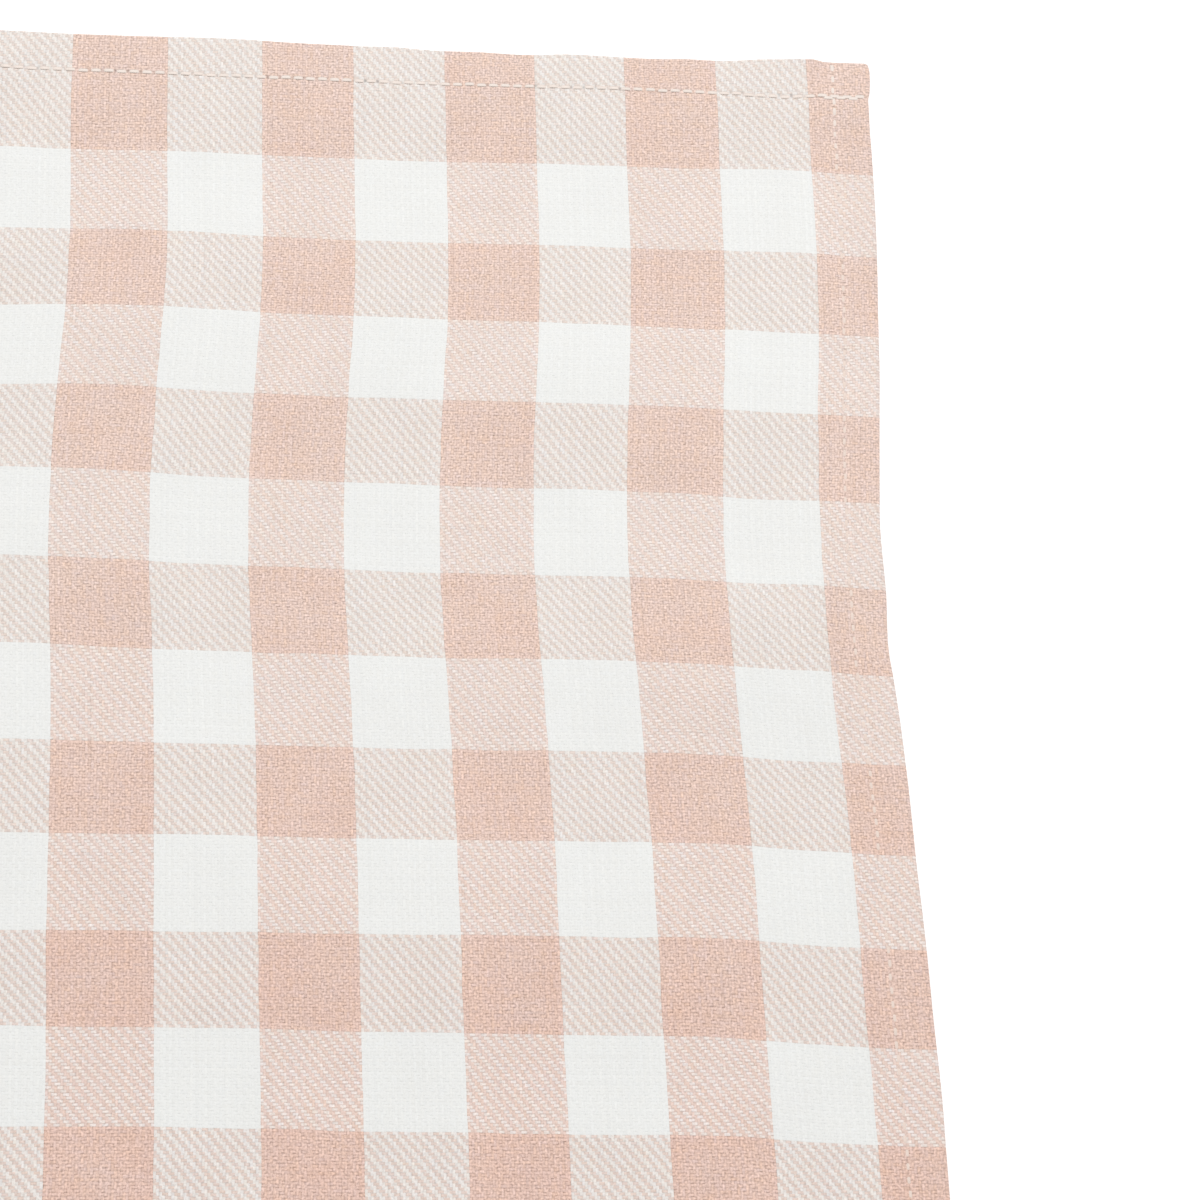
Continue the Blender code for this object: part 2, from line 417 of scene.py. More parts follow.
    def sag(self, across, down):
        """How far the picks lie below their straight line."""
        at = np.clip(across, SAG_LINES[0], SAG_LINES[-1])
        sag = np.zeros_like(down)
        for number, name in enumerate(("outer_check", "last_check", "hem"), 1):
            near = [float(line == number) for line in range(len(SAG_LINES))]
            sag += column_at(SAGS, name, down) * curve_through(SAG_LINES, near, at)
        return sag

    def ridges(self, x, y):
        """How far the soft ridges hold the cloth off the surface. It is nothing between them."""
        height = np.zeros_like(x)
        for fold in FOLDS:
            turn = np.radians(fold.heading)
            east = x - fold.x * MM
            north = y - fold.y * MM
            along = (east * np.cos(turn) + north * np.sin(turn)) / (fold.length * MM / 2)
            bend = fold.bow * MM * along**2
            aside = (north * np.cos(turn) - east * np.sin(turn) - bend) / (fold.width * MM / 2)
            crest = np.where(np.abs(aside) < 1, (1 + np.cos(np.pi * aside)) / 2, 0)
            taper = np.clip(1 - along**2, 0, 1) ** 2
            height += fold.height * MM * crest * taper
        return height

    def cockles(self, x, y, across, down):
        """Slight waves all over, and the ripples beside the sewn hems."""
        height = np.zeros_like(x)
        near_hems = bell(np.minimum(*self.inside_hems(across, down)) / (HEM_SETTLE / 3))
        for number, wave in enumerate(COCKLES):
            turn = np.radians(wave.heading)
            length = wave.length * MM
            way = (x * np.cos(turn) + y * np.sin(turn)) / length
            sway = np.sin((x * np.sin(turn) - y * np.cos(turn)) / length * COCKLE_SWAY)
            lift = (1 + np.sin(2 * np.pi * way + COCKLE_BEND * sway + number)) / 2
            height += wave.height * MM * lift * (near_hems if wave.beside_hems else 1)
        return height

    def lay(self, u, v, w):
        """X, Y and Z of the cloth at u from the left and v from the top of the finished face.

        Negative u and v are on the turned hems, and w is the height above the cloth's middle.
        """
        across, down, height = self.hemmed(u, v, w)
        across, down = self.wavered(across, down)
        x, y = self.drifted(across, down)
        lift = self.ridges(x, y)
        face = eased(height / self.thick)
        return np.stack([x, y, height + lift + face * self.cockles(x, y, across, down)], -1)

    def stitched(self, start, end):
        """Where a row of stitches starts, the length of each, and how many there are."""
        count = round((end - start) / self.stitching.stitch_length)
        return start, (end - start) / count, count

    def side_row(self):
        """The rows along the sides run on into the turns of the ends, which came after them."""
        outer = float(self.end_turns(np.array(self.stitching.side_inset))[0])
        reach = math.pi * outer - self.start_of_turn(outer) + SIDE_ROW_ON
        return self.stitched(-reach, self.length + reach)

    def end_row(self):
        margin = self.start_of_turn(self.layer) - END_ROW_OUT
        return self.stitched(margin, self.width - margin)


# --- Mesh helpers ---


def deselect_all():
    if bpy.context.mode != "OBJECT":
        bpy.ops.object.mode_set(mode="OBJECT")
    bpy.ops.object.select_all(action="DESELECT")


def vertex_places(mesh):
    places = np.empty(len(mesh.vertices) * 3)
    mesh.vertices.foreach_get("co", places)
    return places.reshape(-1, 3)


def place_vertices(mesh, places):
    mesh.vertices.foreach_set("co", np.ascontiguousarray(places, np.float32).ravel())
    mesh.update()


def outward_normals(piece):
    """Faces that point out, whatever the shaping did."""
    deselect_all()
    piece.select_set(True)
    bpy.context.view_layer.objects.active = piece
    bpy.ops.object.mode_set(mode="EDIT")
    bpy.ops.mesh.select_all(action="SELECT")
    bpy.ops.mesh.normals_make_consistent(inside=False)
    bpy.ops.object.mode_set(mode="OBJECT")


# --- The cloth ---

# Half the width of the band of close mesh lines along the stitching.
STITCH_BAND = 1.5 * MM
# Mesh cells from a raw edge inwards: the turned-in run, a turn, the lowest run, the other turn,
# the face up to the stitching's band, that band, and the cloth up to where the hem has settled.
HEM_CELLS = (4, 4, 8, 6, 4, 6, 8)


def cut_lines(towel, size, hem, inset):
    """Mesh lines across the flat cut: close at the turns and stitches, wide on the open cloth."""
    outer, inner = towel.layer, towel.layer / 2
    start = towel.start_of_turn(outer)
    outer_end = start - math.pi * outer
    inner_start = outer_end - towel.under_run(hem, outer, inner)
    stops = (
        -towel.beyond(hem), inner_start - math.pi * inner, inner_start, outer_end, start,
        inset - STITCH_BAND, inset + STITCH_BAND, hem + HEM_SETTLE,
    )
    near = [
        low + (high - low) * step / count
        for low, high, count in zip(stops, stops[1:], HEM_CELLS)
        for step in range(count)
    ]
    near.append(stops[-1])
    free = size - 2 * near[-1]
    count = round(free / towel.sizes.field_cell)
    middle = [near[-1] + free * step / count for step in range(1, count)]
    return np.array(near + middle + [size - place for place in reversed(near)])


def make_cloth(towel):
    """The woven panel: cut flat, turned into hems on all four sides, and laid down."""
    sizes, stitching = towel.sizes, towel.stitching
    columns = cut_lines(towel, towel.width, sizes.side_hem, stitching.side_inset)
    rows = cut_lines(towel, towel.length, sizes.end_hem, stitching.end_inset)

    deselect_all()
    bpy.ops.mesh.primitive_grid_add(
        x_subdivisions=len(columns) - 1, y_subdivisions=len(rows) - 1, size=1
    )
    cloth = bpy.context.active_object
    cloth.name = cloth.data.name = "woven_panel"
    flat = vertex_places(cloth.data)
    column = np.rint((flat[:, 0] + 0.5) * (len(columns) - 1)).astype(int)
    row = np.rint((0.5 - flat[:, 1]) * (len(rows) - 1)).astype(int)
    flat[:, 0] = columns[column]
    flat[:, 1] = -rows[row]
    place_vertices(cloth.data, flat)

    woven_place = cloth.data.uv_layers.active
    woven_place.name = "woven_place"
    corners = np.empty(len(cloth.data.loops), int)
    cloth.data.loops.foreach_get("vertex_index", corners)
    woven = np.stack([flat[corners, 0], -flat[corners, 1]], -1)
    woven[:, 1] -= towel.sag(woven[:, 0], woven[:, 1])
    woven_place.uv.foreach_set("vector", woven.astype(np.float32).ravel())

    body = cloth.modifiers.new("cloth thickness", "SOLIDIFY")
    body.thickness = sizes.cloth_thick
    body.offset = 0
    body.material_offset = 1
    bpy.ops.object.modifier_apply(modifier=body.name)
    solid = vertex_places(cloth.data)
    place_vertices(cloth.data, towel.lay(solid[:, 0], -solid[:, 1], solid[:, 2]))
    bpy.ops.object.shade_smooth()
    return cloth


# --- The hem stitching ---

STITCH_SIDES = 6
STITCH_STEPS = 6
STITCH_FILL = 0.92
STITCH_TAPER = 0.45
STITCH_FLATTEN = 0.3
STITCH_DIP = 0.32 * MM
STITCH_STAND = 0.08 * MM
STITCH_STRAY = 0.12 * MM
# Stitches along the ends of the weave sink in between them.
SIDE_SINK = 0.16 * MM
SIDE_ROW_ON = 2.5 * MM
END_ROW_OUT = 0.2 * MM
# The last stitches of an end hem are sewn twice, beside each other.
TACK_STITCHES = 3
TACK_ASIDE = 0.45 * MM


def stitch_form(stitching):
    """One stitch along +X from 0 to 1: a round thread that dips into a needle hole at each end.

    Each point is given as its share of the stitch's length, and its place aside and up.
    """
    deselect_all()
    bpy.ops.mesh.primitive_cylinder_add(
        vertices=STITCH_SIDES, radius=stitching.thread_thick / 2, depth=1,
        rotation=(0, math.pi / 2, 0), end_fill_type="NGON",
    )
    stitch = bpy.context.active_object
    bpy.ops.object.transform_apply(location=False, rotation=True, scale=False)
    bpy.ops.object.mode_set(mode="EDIT")
    for step in range(1, STITCH_STEPS):
        bpy.ops.mesh.select_all(action="SELECT")
        bpy.ops.mesh.bisect(plane_co=(step / STITCH_STEPS - 0.5, 0, 0), plane_no=(1, 0, 0))
    bpy.ops.object.mode_set(mode="OBJECT")
    form = vertex_places(stitch.data)
    share = form[:, 0] + 0.5
    dip = np.abs(2 * share - 1) ** 4
    thin = 1 - STITCH_TAPER * dip
    form[:, 0] = 0.5 + (share - 0.5) * STITCH_FILL
    form[:, 1] *= thin
    form[:, 2] = form[:, 2] * thin * STITCH_FLATTEN + STITCH_STAND - STITCH_DIP * dip
    place_vertices(stitch.data, form)
    return stitch, form


def sew(name, stitch, form, lines):
    """Copies of the stitch along the lines, joined in one mesh.

    A line gives, for a share along it and a height off the cloth, the places it takes.
    """
    sides = [list(face.vertices) for face in stitch.data.polygons]
    points = []
    faces = []
    for count, place in lines:
        for number in range(count):
            first = len(points) * len(form)
            points.append(place(number + form[:, 0], form[:, 1], form[:, 2], number))
            faces.extend([corner + first for corner in side] for side in sides)
    sewn = bpy.data.meshes.new(name)
    sewn.from_pydata(np.concatenate(points).tolist(), [], faces)
    piece = bpy.data.objects.new(name, sewn)
    bpy.context.scene.collection.objects.link(piece)
    outward_normals(piece)
    sewn.shade_smooth()
    return piece


def unsteady(number, seed):
    """A small fixed unevenness for each stitch, from -1 to 1."""
    return math.sin(number * 12.9898 + seed * 78.233) * math.cos(number * 4.1414 + seed)


def side_line(towel, far, back):
    """The stitching along one side."""
    start, pitch, count = towel.side_row()
    cut = towel.stitching.side_inset
    if back:
        cut = towel.start_of_turn(towel.layer) * 2 - math.pi * towel.layer - cut

    def place(share, aside, up, number):
        u = cut + (-aside if back else aside) + STITCH_STRAY * unsteady(number, far + 2 * back)
        w = towel.thick / 2 + up - SIDE_SINK
        return towel.lay(towel.width - u if far else u, start + share * pitch, w)

    return count, place


def end_line(towel, far, back):
    """The stitching along one end, through the side hems at both of its ends."""
    start, pitch, count = towel.end_row()

    def place(share, aside, up, number):
        u = start + share * pitch
        stray = STITCH_STRAY * unsteady(number, 5 + far + 2 * back)
        off = towel.stitching.end_inset + stray
        v = off + aside
        if back:
            outer, _ = towel.end_turns(u)
            v = towel.start_of_turn(outer) * 2 - math.pi * outer - off + aside
        return towel.lay(u, towel.length - v if far else v, towel.thick / 2 + up)

    return count, place


def tack_line(line, last):
    """The few stitches that go back over a line's start, or over its end if `last`."""
    count, place = line
    first = count - TACK_STITCHES - 0.5 if last else 0.5

    def back_over(share, aside, up, number):
        return place(first + share, aside + TACK_ASIDE, up, number)

    return TACK_STITCHES, back_over


def make_stitching(towel):
    """Both faces of the lockstitch along all four hems."""
    stitch, form = stitch_form(towel.stitching)
    pieces = []
    for back, name in ((False, "hem_stitches_face"), (True, "hem_stitches_back")):
        sides = [side_line(towel, far, back) for far in (0, 1)]
        ends = [end_line(towel, far, back) for far in (0, 1)]
        tacks = [tack_line(end, last) for end in ends for last in (False, True)]
        pieces.append(sew(name, stitch, form, sides + ends + tacks))
    bpy.data.objects.remove(stitch, do_unlink=True)
    return pieces


# --- Materials ---

FLOAT = "NodeSocketFloat"
COLOUR = "NodeSocketColor"
VECTOR = "NodeSocketVector"
WHITE = (1.0, 1.0, 1.0, 1.0)


class NodeBench:
    """Adds nodes to one tree. Each method but the first gives the new node's output."""

    def __init__(self, tree):
        self.tree = tree
        self.plus, self.minus, self.times, self.over, self.scaled = (
            partial(self.math, operation)
            for operation in ("ADD", "SUBTRACT", "MULTIPLY", "DIVIDE", "MULTIPLY_ADD")
        )

    def add(self, kind, values=(), **settings):
        """All outputs of a new node, with these values on its inputs by number or name."""
        node = self.tree.nodes.new(kind)
        for name, setting in settings.items():
            setattr(node, name, setting)
        for socket, value in dict(values).items():
            self.feed(node.inputs[socket], value)
        return node.outputs

    def feed(self, socket, value):
        if isinstance(value, bpy.types.NodeSocket):
            self.tree.links.new(value, socket)
        else:
            socket.default_value = value

    def math(self, operation, *values, clamp=False):
        values = enumerate(values)
        return self.add("ShaderNodeMath", values, operation=operation, use_clamp=clamp)[0]

    def join(self, x, y, z=0.0):
        return self.add("ShaderNodeCombineXYZ", enumerate((x, y, z)))[0]

    def split(self, vector, count=2):
        return self.add("ShaderNodeSeparateXYZ", {0: vector})[:count]

    def noise(self, vector, scale, detail=1.0, output="Fac"):
        """A noise value from 0 to 1, or three of them as a colour."""
        values = {"Vector": vector, "Scale": scale, "Detail": detail}
        return self.add("ShaderNodeTexNoise", values, noise_dimensions="3D")[output]

    def random(self, numbers):
        """Two fixed random values from 0 to 1, for each set of whole numbers."""
        noise = self.add("ShaderNodeTexWhiteNoise", {"Vector": numbers}, noise_dimensions="3D")
        return self.split(noise["Color"])

    def span(self, value, from_low, from_high, to_low, to_high):
        values = enumerate((value, from_low, from_high, to_low, to_high))
        return self.add("ShaderNodeMapRange", values, clamp=True)[0]

    def blend(self, share, first, second):
        """A number between two others."""
        return self.add("ShaderNodeMix", {0: share, 2: first, 3: second}, data_type="FLOAT")[0]

    def mix(self, share, first, second, blend="MIX", clamp=True):
        """A colour between two others, or another blend of them."""
        values = {0: share, 6: first, 7: second}
        settings = {"data_type": "RGBA", "blend_type": blend, "clamp_factor": clamp}
        return self.add("ShaderNodeMix", values, **settings)[2]

    def shaded(self, colour, by):
        return self.add("ShaderNodeVectorMath", {0: colour, 3: by}, operation="SCALE")[0]

    def bump(self, height, strength):
        """The normal of a surface with this relief, in metres."""
        values = {"Strength": strength, "Distance": 1.0, "Height": height}
        return self.add("ShaderNodeBump", values)["Normal"]


def new_group(name, inputs, outputs):
    """An empty node group with its sockets named by kind, and its bench, inputs and outputs."""
    group = bpy.data.node_groups.new(name, "ShaderNodeTree")
    for in_out, sockets in (("INPUT", inputs), ("OUTPUT", outputs)):
        for kind, labels in sockets.items():
            for label in labels.split(", "):
                group.interface.new_socket(label, in_out=in_out, socket_type=kind)
    bench = NodeBench(group)
    return group, bench, bench.add("NodeGroupInput"), group.nodes.new("NodeGroupOutput").inputs


def new_material(name, fixed):
    """A material with the shader's fixed values set, and its bench and the shader's inputs."""
    material = bpy.data.materials.new(name)
    material.use_nodes = True
    inputs = material.node_tree.nodes["Principled BSDF"].inputs
    for label, value in fixed.items():
        inputs[label].default_value = value
    return material, NodeBench(material.node_tree), inputs


# One repeat of a 2/2 twill is four yarns each way, and the picks start three yarns on.
TWILL_REPEAT = 4.0
WEFT_START = 3.0
# How far an end is drawn towards the other of its pair, as a share of the yarns' spacing.
REED_PULL = 0.03
# Widths of the yarns as shares of their spacing, and how high they stand and wave.
WARP_WIDE = 1.14
WEFT_WIDE = 0.87
YARN_RISE = 0.40
# The height under which a gap is painted with shade, and made rougher.
PIT_TOP = 0.78
# Sizes of the patches in which yarns wander, and of the loose fibres: how many to a metre.
WANDER_SCALE = 80.0
FLUFF_SCALE = 2000.0
WARP_SHARE = 0.6


def yarn_run(bench, index, along, phase, streak, seed):
    """How thick, how light and how warm a yarn is at a place.

    It varies from yarn to yarn, by `streak` in lightness against its neighbour, with the slubs
    along each, and from float to float.
    """
    own, own_light = bench.random(bench.join(index, seed))
    _, next_light = bench.random(bench.join(bench.plus(index, 1.0), seed))
    number = bench.math("FLOOR", bench.scaled(phase, 1 / TWILL_REPEAT, 0.5))
    part, part_light = bench.random(bench.join(index, number, seed + 1.0))
    run = bench.join(bench.times(index, 3.17), bench.times(along, 0.12), seed)
    slub, warmth = bench.split(bench.noise(run, 1.0, 1.0, "Color"))

    def total(*shares):
        """The sum of the given values' swings from their middle, each by its weight."""
        middle = -sum(weight for _, weight in shares) / 2
        for value, weight in shares:
            middle = bench.scaled(value, weight, middle)
        return middle

    thick = total((own, 0.08), (slub, 0.17), (part, 0.05))
    light = total((own_light, streak), (next_light, -streak), (slub, 0.05), (part_light, 0.02))
    return thick, light, total((warmth, 1.0), (part, 0.12))


def twill_group():
    """Colour and height of a 2/2 twill in a two-colour check, from the place on the cloth."""
    group, bench, given, out = new_group(
        "Checked Twill",
        {
            VECTOR: "Woven Place",
            COLOUR: "Dyed Yarn, Plain Yarn, Dyed Gap",
            FLOAT: "End Pitch, Pick Pitch, Check Width, Check Height, Checks Across, "
                   "Checks Along, Side Border, End Border, Reverse, Fuzz, Float Contrast, "
                   "Speckle, Heather, Reed Mark, Fluff",
        },
        {COLOUR: "Colour", FLOAT: "Height, Pit"},
    )
    math_, plus, minus, times = bench.math, bench.plus, bench.minus, bench.times
    over, scaled, blend = bench.over, bench.scaled, bench.blend
    place = given["Woven Place"]
    u, v = bench.split(place)

    # Yarns wander a little off their straight lines, and broad patches are faintly lighter and
    # darker.
    wander_x, wander_y, mottle = bench.split(bench.noise(place, WANDER_SCALE, 2.0, "Color"), 3)
    x = over(minus(u, given["Side Border"]), given["End Pitch"])
    y = over(minus(v, given["End Border"]), given["Pick Pitch"])
    x = plus(minus(wander_x, 0.5), x)
    y = plus(minus(wander_y, 0.5), y)
    end, pick = math_("FLOOR", x), math_("FLOOR", y)
    beside_end = minus(minus(x, end), 0.5)
    beside_pick = minus(minus(y, pick), 0.5)

    warp_phase = minus(y, end)
    weft_phase = minus(minus(x, pick), WEFT_START)
    warp_thick, warp_light, warp_warmth = yarn_run(bench, end, y, warp_phase, 0.05, 11.0)
    weft_thick, weft_light, weft_warmth = yarn_run(bench, pick, x, weft_phase, 0.04, 517.0)
    # The reed held the ends in pairs, so the two of a pair lie closer together, and each of its
    # wires left a faint line between two pairs.
    odd = math_("FLOORED_MODULO", end, 2.0)
    beside_end = plus(beside_end, scaled(odd, 2 * REED_PULL, -REED_PULL))
    reed_line = times(math_("COSINE", times(x, math.pi)), given["Reed Mark"])

    # Painted shade in a crossing's gap: as deep as the yarns leave it, shallower where they bulge.
    def crossing(right, down):
        return bench.random(bench.join(plus(end, right), plus(pick, down), 5.0))[0]

    gap_shade_depth = minus(crossing(0.0, 0.0), times(crossing(1.0, 0.0), 0.5))
    gap_shade_depth = scaled(crossing(0.0, 1.0), -0.5, gap_shade_depth)
    gap_shade_depth = scaled(gap_shade_depth, given["Speckle"], 1.0)

    side = scaled(given["Reverse"], -2.0, 1.0)

    def yarn_height(beside, thick, wide, phase):
        """The top of a round yarn that waves over and under, or far down where there is none."""
        share = over(times(beside, 2.0), plus(thick, wide))
        share = times(share, share)
        top = math_("SUBTRACT", 1.0, share, clamp=True)
        turn = math_("COSINE", times(phase, 2 * math.pi / TWILL_REPEAT))
        wave = math_("MAXIMUM", math_("MINIMUM", times(turn, 1.5), 1.0), -1.0)
        height = scaled(times(wave, side), YARN_RISE, times(top, YARN_RISE))
        return minus(height, math_("GREATER_THAN", share, 1.0))

    warp_height = yarn_height(beside_end, warp_thick, WARP_WIDE, warp_phase)
    weft_height = yarn_height(beside_pick, weft_thick, WEFT_WIDE, weft_phase)
    warp_up = math_("GREATER_THAN", warp_height, weft_height)
    height = math_("MAXIMUM", warp_height, weft_height)

    def dyed(index, pitch, check, most):
        number = math_("FLOOR", over(times(plus(index, 0.5), pitch), check))
        number = math_("MINIMUM", math_("MAXIMUM", number, -1.0), most)
        return minus(1.0, math_("MODULO", plus(number, 1.0), 2.0))

    warp_dyed = dyed(end, given["End Pitch"], given["Check Width"], given["Checks Across"])
    weft_dyed = dyed(pick, given["Pick Pitch"], given["Check Height"], given["Checks Along"])
    # Loose fibres carry the colour of each yarn over its neighbours.
    top_dyed = blend(warp_up, weft_dyed, warp_dyed)
    near_dyed = math_("POWER", blend(WARP_SHARE, weft_dyed, warp_dyed), 0.85)
    shown_dyed = blend(given["Fuzz"], top_dyed, near_dyed)
    shown_dyed = times(shown_dyed, scaled(wander_x, 0.24, 0.88))
    colour = bench.mix(shown_dyed, given["Plain Yarn"], given["Dyed Yarn"], clamp=False)

    # Shade painted in the gaps: white yarns throw light back into them, and dyed yarns hardly do.
    pit = bench.span(height, 0.0, PIT_TOP, 1.0, 0.0)
    gap = bench.mix(math_("POWER", near_dyed, 1.3), WHITE, given["Dyed Gap"])
    gap = bench.mix(1.0, colour, gap, blend="MULTIPLY")
    colour = bench.mix(times(pit, gap_shade_depth), colour, gap, clamp=False)

    # Dyed yarns show their unevenness, the reed and loose fibres more than white ones do.
    seen_warp = scaled(warp_up, 0.6, 0.2)
    own_light = times(blend(seen_warp, weft_light, warp_light), blend(near_dyed, 0.62, 1.2))
    own_light = scaled(minus(near_dyed, top_dyed), given["Float Contrast"], own_light)
    own_light = scaled(reed_line, blend(weft_dyed, -0.25, -1.0), own_light)
    fluff = times(minus(bench.noise(place, FLUFF_SCALE), 0.5), given["Fluff"])
    own_light = scaled(fluff, blend(near_dyed, 0.16, 1.0), own_light)
    own_light = scaled(minus(mottle, 0.5), blend(near_dyed, 0.055, 0.1), own_light)
    # Where dyed picks cross white ends, the cloth is a little darker and less red.
    dull = times(weft_dyed, minus(1.0, warp_dyed))
    light = plus(own_light, scaled(dull, -0.015, 1.0))
    warmth = times(blend(seen_warp, weft_warmth, warp_warmth), given["Heather"])
    warmth = times(warmth, blend(near_dyed, 0.15, 1.0))
    tinted = bench.join(
        times(light, scaled(dull, -0.018, scaled(warmth, 0.15, 1.0))),
        times(light, scaled(warmth, -0.25, 1.0)),
        times(light, scaled(warmth, -1.0, 1.0)),
    )
    bench.feed(out["Colour"], bench.mix(1.0, colour, tinted, blend="MULTIPLY"))
    bench.feed(out["Height"], height)
    bench.feed(out["Pit"], pit)
    return group


# How far from the thread a needle hole and the drawn-in cloth reach. Side holes stay small.
HOLE_REACH = 0.42 * MM
DRAWN_REACH = 1.9 * MM
SIDE_OPEN = 0.35


def pucker_group():
    """Dents where the needle went through, and the cloth drawn in beside them."""
    group, bench, given, out = new_group(
        "Hem Puckers",
        {
            VECTOR: "Woven Place",
            FLOAT: "Width, Length, Side Inset, End Inset, Side Start, End Start, "
                   "Side Stitch, End Stitch",
        },
        {FLOAT: "Hole, Drawn"},
    )
    math_, minus, times, over = bench.math, bench.minus, bench.times, bench.over
    u, v = bench.split(given["Woven Place"])

    def one_row(name, across, size, along, open_by):
        inset = given[name + " Inset"]
        off = minus(math_("MINIMUM", across, minus(size, across)), inset)
        run = over(minus(along, given[name + " Start"]), given[name + " Stitch"])
        beat = bench.scaled(math_("COSINE", times(run, 2 * math.pi)), 0.5, 0.5)

        def fall(reach):
            share = over(off, reach)
            return math_("EXPONENT", times(times(share, share), -1.0))

        # Some holes have closed round the thread.
        number = math_("FLOOR", bench.plus(run, 0.5))
        depth, _ = bench.random(bench.join(number, inset, 3.0))
        depth = times(times(depth, depth), open_by)
        hole = times(math_("POWER", beat, 7.0), fall(HOLE_REACH))
        return times(hole, depth), times(times(beat, open_by), fall(DRAWN_REACH))

    sides = one_row("Side", u, given["Width"], v, SIDE_OPEN)
    ends = one_row("End", v, given["Length"], u, 1.0)
    for label, side, end in zip(("Hole", "Drawn"), sides, ends):
        bench.feed(out[label], math_("MAXIMUM", side, end))
    return group


# How far in, from the shown end, the nap thins and the pink turns darker.
DEEPER_FROM = 140 * MM
DEEPER_TO = 320 * MM
YARN_RELIEF = 0.045 * MM
HOLE_RELIEF = -0.12 * MM
DRAWN_RELIEF = -0.06 * MM


def cloth_material(name, towel, colours, twill, pucker, reverse):
    """Matt cotton twill, seen from its face or from its back."""
    material, bench, shader = new_material(
        name, {"Specular IOR Level": 0.25, "Sheen Weight": 0.12, "Sheen Roughness": 0.6}
    )
    sizes, stitching = towel.sizes, towel.stitching
    place = bench.add("ShaderNodeUVMap", uv_map="woven_place")["UV"]
    # The nap is fullest, and the pink lightest, at the shown end.
    inside = bench.span(bench.split(place)[1], DEEPER_FROM, DEEPER_TO, 0.0, 1.0)
    weave = bench.add("ShaderNodeGroup", node_tree=twill, values={
        "Woven Place": place,
        "End Pitch": sizes.check_width / sizes.ends_per_check,
        "Pick Pitch": sizes.check_height / sizes.picks_per_check,
        "Check Width": sizes.check_width,
        "Check Height": sizes.check_height,
        "Checks Across": float(sizes.checks_across),
        "Checks Along": float(sizes.checks_along),
        "Side Border": sizes.side_border,
        "End Border": sizes.end_border,
        "Dyed Yarn": bench.mix(inside, (*colours.pink_yarn, 1.0), (*colours.deep_yarn, 1.0)),
        "Plain Yarn": (*colours.white_yarn, 1.0),
        "Reverse": float(reverse),
        "Fuzz": bench.blend(inside, 0.68, 0.56),
        "Float Contrast": 0.055,
        "Speckle": 1.3,
        # Colour of the painted shade in the gaps between dyed yarns.
        "Dyed Gap": (0.72, 0.69, 0.68, 1.0),
        "Heather": 0.3,
        "Reed Mark": 0.021,
        "Fluff": 1.0,
    })
    side_start, side_stitch, _ = towel.side_row()
    end_start, end_stitch, _ = towel.end_row()
    hems = bench.add("ShaderNodeGroup", node_tree=pucker, values={
        "Woven Place": place,
        "Width": towel.width,
        "Length": towel.length,
        "Side Inset": stitching.side_inset,
        "End Inset": stitching.end_inset,
        "Side Start": side_start,
        "End Start": end_start,
        "Side Stitch": side_stitch,
        "End Stitch": end_stitch,
    })
    # Painted shade darkens the cloth in the needle holes.
    shade = bench.scaled(hems["Hole"], -0.5, 1.0)
    bench.feed(shader["Base Color"], bench.shaded(weave["Colour"], shade))
    bench.feed(shader["Roughness"], bench.span(weave["Pit"], 0, 1, 0.86, 0.97))
    dents = bench.scaled(hems["Hole"], HOLE_RELIEF, bench.times(hems["Drawn"], DRAWN_RELIEF))
    relief = bench.scaled(weave["Height"], YARN_RELIEF, dents)
    bench.feed(shader["Normal"], bench.bump(relief, 1.0))
    return material


TWIST_LENGTH = 0.5 * MM
TWIST_RELIEF = 0.02 * MM
# From the middle of the towel: where the side thread comes out of the nap and its painted shade.
SUNK_TO = 318 * MM
CLEAR_FROM = 336 * MM


def thread_material(colours):
    """Pale spun thread with the slant of its twist."""
    material, bench, shader = new_material(
        "hem_thread", {"Roughness": 0.7, "Sheen Weight": 0.1}
    )
    place = bench.add("ShaderNodeTexCoord")["Object"]
    x, y = bench.split(place)
    slant = bench.math("SINE", bench.times(bench.plus(x, y), 2 * math.pi / TWIST_LENGTH))
    light = bench.scaled(bench.noise(place, 900.0, 2.0), 0.16, 0.90)
    # Along the sides it has sunk in the nap, whose fibres lie over it, and painted shade darkens
    # it.
    aside = bench.span(bench.math("ABSOLUTE", y), SUNK_TO, CLEAR_FROM, 1.0, 0.2)
    tone = bench.mix(aside, (*colours.thread, 1.0), (*colours.shaded_sunk_thread, 1.0))
    bench.feed(shader["Base Color"], bench.shaded(tone, light))
    bench.feed(shader["Normal"], bench.bump(bench.times(slant, TWIST_RELIEF), 0.6))
    return material


# --- The studio ---

FLOOR_SIZE = 12.0
FLOOR_DROP = 0.2 * MM
TOP_LIGHT_SIZE = 1.2
TOP_LIGHT_PLACE = Vector((0.25, 0.75, 1.35))
TOP_LIGHT_AIM = Vector((0.2, 0.5, 0.0))
CAMERA_AIM = Vector((0.1791, 0.2017, 0.0))


def make_floor(studio):
    """A plain pale floor under the towel."""
    deselect_all()
    bpy.ops.mesh.primitive_plane_add(size=FLOOR_SIZE, location=(0, 0, -FLOOR_DROP))
    floor = bpy.context.active_object
    floor.name = floor.data.name = "studio_floor"
    bpy.ops.object.transform_apply(location=True, rotation=False, scale=False)
    paint, _, _ = new_material("studio_white", {
        "Base Color": (*studio.floor_colour, 1.0),
        "Roughness": 0.9,
        "Specular IOR Level": 0.1,
        "Emission Color": WHITE,
        "Emission Strength": 0.14,
    })
    floor.data.materials.append(paint)


